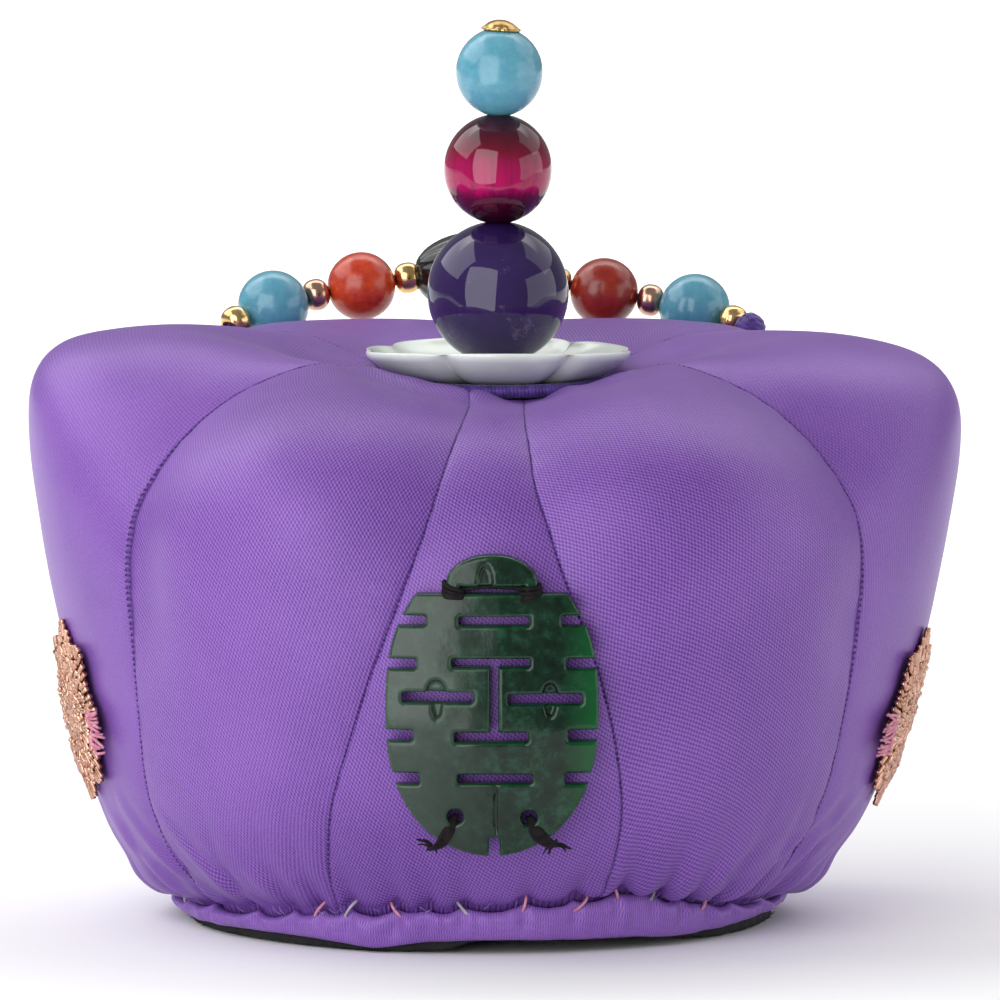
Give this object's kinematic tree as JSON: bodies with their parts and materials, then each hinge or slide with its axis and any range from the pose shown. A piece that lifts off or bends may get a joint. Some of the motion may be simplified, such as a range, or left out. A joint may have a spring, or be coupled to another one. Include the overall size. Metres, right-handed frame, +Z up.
{
  "type": "bridal coronet",
  "caption": "Padded, gored satin hat, wide at the top, with a pierced jade plaque, a bead finial on a petal plate, a beaded strand at the back and wire medallions at the sides.",
  "frame": {"origin": "on the ground under the middle of the whole piece, as it stands on its rim", "axes": "+Z up, -Y towards the front with the plaque, +X to the right as seen from the front"},
  "size_m": [0.1328, 0.1224, 0.1286],
  "materials": {
    "satin": "purple satin weave with a soft sheen",
    "lining": "black cotton, matte",
    "green_jade": "dark mottled green jade, polished",
    "white_jade": "pale grey jade, polished",
    "thread": "dark violet thread",
    "amethyst": "deep violet amethyst, polished",
    "tiger_eye": "dyed magenta tiger's eye with a bright band, polished",
    "turquoise": "pale blue turquoise, smooth",
    "coral": "brick-red coral, smooth",
    "gold": "bright gold-coloured metal",
    "copper": "bright copper-coloured metal",
    "black_glass": "opaque black glass, polished",
    "gilt_wire": "rose-gold coiled wire"
  },
  "bodies": {
    "root": {"gore_front_gusset": "satin", "gore_front_right": "satin", "gore_right": "satin", "gore_back_right": "satin", "gore_back_gusset": "satin", "gore_back_left": "satin", "gore_left": "satin", "gore_front_left": "satin", "rim_band": "satin", "lining_band": "lining", "plaque": "green_jade", "whipped_roll": "thread", "petal_plate": "white_jade", "finial_post": "gold", "bead_amethyst": "amethyst", "bead_tiger_eye": "tiger_eye", "bead_turquoise_top": "turquoise", "finial_cap": "gold", "bead_black": "black_glass", "bead_gold_left_inner": "gold", "bead_coral_left": "coral", "bead_copper_left": "copper", "bead_turquoise_left": "turquoise", "bead_gold_left_outer": "gold", "knot_left": "thread", "bead_gold_right_inner": "gold", "bead_coral_right": "coral", "bead_copper_right": "copper", "bead_turquoise_right": "turquoise", "bead_gold_right_outer": "gold", "knot_right": "thread", "strand_thread": "thread", "medallion_left": "gilt_wire", "medallion_right": "gilt_wire"}
  },
  "joints": []
}
